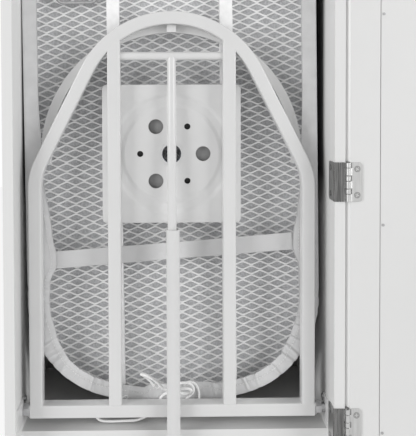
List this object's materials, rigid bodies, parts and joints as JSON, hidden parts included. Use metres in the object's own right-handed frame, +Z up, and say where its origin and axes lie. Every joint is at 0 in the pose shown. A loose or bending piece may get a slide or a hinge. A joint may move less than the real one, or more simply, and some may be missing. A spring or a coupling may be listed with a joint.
{
  "type": "mirrored ironing board cabinet",
  "caption": "White wall cabinet with a hinged mirror door and a fold-down ironing board carried by a steel arch frame, a swivel and a sliding strut.",
  "frame": {"origin": "middle of the four wall screws on the wall plane, at the back of the cabinet", "axes": "+X to the right of someone facing the cabinet, +Y into the wall, +Z up"},
  "size_m": [0.7777, 0.1993, 1.32],
  "materials": {
    "painted_board": "white melamine-faced board, satin",
    "back_board": "white hardboard, matt",
    "raw_wood": "raw softwood",
    "white_steel": "white powder coat, satin",
    "zinc_steel": "zinc plated",
    "hinge_steel": "polished steel",
    "grey_plastic": "moulded plastic",
    "door_paint": "white satin paint on wood",
    "mirror_glass": "silvered glass",
    "board_steel": "pale grey enamel",
    "pad_felt": "grey felt",
    "cover_fabric": "silver-grey coated cotton",
    "elastic": "woven elastic",
    "cord_white": "woven cotton cord"
  },
  "bodies": {
    "cabinet": {"side_left": "painted_board", "side_right": "painted_board", "top_board": "painted_board", "bottom_board": "painted_board", "compartment_floor": "painted_board", "lower_panel": "painted_board", "back_panel": "back_board", "hanging_rail_top": "raw_wood", "hanging_rail_low": "raw_wood", "pivot_plates": "white_steel", "pivot_bolts": "zinc_steel", "pivot_nuts": "zinc_steel", "pivot_washers": "zinc_steel", "strut_bracket": "zinc_steel", "strut_bracket_pin": "zinc_steel", "fixing_screws": "zinc_steel", "hinge_screws_cabinet": "hinge_steel", "hinge_cabinet_leaf_1": "hinge_steel", "hinge_cabinet_leaf_2": "hinge_steel", "hinge_cabinet_leaf_3": "hinge_steel", "hinge_cabinet_leaf_4": "hinge_steel", "hinge_cabinet_leaf_5": "hinge_steel", "hinge_pins": "hinge_steel", "door_magnet": "grey_plastic"},
    "door": {"door_stile_hinge": "door_paint", "door_stile_free": "door_paint", "door_rail_top": "door_paint", "door_rail_low": "door_paint", "door_backing": "door_paint", "mirror": "mirror_glass", "panel_nails": "zinc_steel", "hinge_door_leaf_1": "hinge_steel", "hinge_door_leaf_2": "hinge_steel", "hinge_door_leaf_3": "hinge_steel", "hinge_door_leaf_4": "hinge_steel", "hinge_door_leaf_5": "hinge_steel", "hinge_screws_door": "hinge_steel", "strike_plate": "zinc_steel"},
    "fold_frame": {"frame_arch": "white_steel", "frame_rail": "white_steel", "frame_bar_left": "white_steel", "frame_bar_right": "white_steel", "swivel_track": "white_steel", "track_spacer": "white_steel", "swivel_plate_lower": "white_steel"},
    "strut_rod": {"strut_rod": "white_steel"},
    "strut_tube": {"strut_tube": "white_steel", "strut_foot": "grey_plastic"},
    "board": {"board_rim": "board_steel", "board_rails": "board_steel", "board_mesh": "board_steel", "swivel_plate_upper": "zinc_steel", "swivel_rivet": "zinc_steel", "board_pad": "pad_felt", "board_cover": "cover_fabric", "cover_strap": "elastic", "drawstring": "cord_white", "bail_clip": "zinc_steel"},
    "catch": {"catch_arm": "white_steel"},
    "bail": {"wire_bail": "zinc_steel"}
  },
  "joints": [
    {"name": "door_hinge", "type": "hinge", "parent": "cabinet", "child": "door", "pos_m": [0.19585, -0.1965, -0.176], "axis": [0, 0, 1], "range_deg": [-180, 0]},
    {"name": "frame_fold", "type": "hinge", "parent": "cabinet", "child": "fold_frame", "pos_m": [-0.0025, -0.1635, -0.451], "axis": [1, 0, 0], "range_deg": [0, 90]},
    {"name": "strut_hinge", "type": "hinge", "parent": "fold_frame", "child": "strut_rod", "pos_m": [-0.0025, -0.1635, -0.033], "axis": [1, 0, 0], "range_deg": [-28.6, 0]},
    {"name": "strut_slide", "type": "slide", "parent": "strut_rod", "child": "strut_tube", "axis": [0, 0.0383, 0.9993], "range_m": [0, 0.1952]},
    {"name": "board_swivel", "type": "hinge", "parent": "fold_frame", "child": "board", "pos_m": [-0.0025, -0.152, -0.149], "axis": [0, 1, 0], "range_deg": [0, 1.3]},
    {"name": "board_catch", "type": "hinge", "parent": "cabinet", "child": "catch", "pos_m": [0.095, -0.1575, 0.47], "axis": [0, 0, 1], "range_deg": [0, 90]},
    {"name": "bail_swing", "type": "hinge", "parent": "board", "child": "bail", "pos_m": [-0.11669, -0.141, 0.08772], "axis": [0.9999, 0, 0.0113], "range_deg": [-60, 4]}
  ],
  "couplings": [
    {"joint": "strut_hinge", "follows": "frame_fold", "ratio": -0.3175},
    {"joint": "strut_slide", "follows": "frame_fold", "m_per_rad": 0.1242}
  ]
}
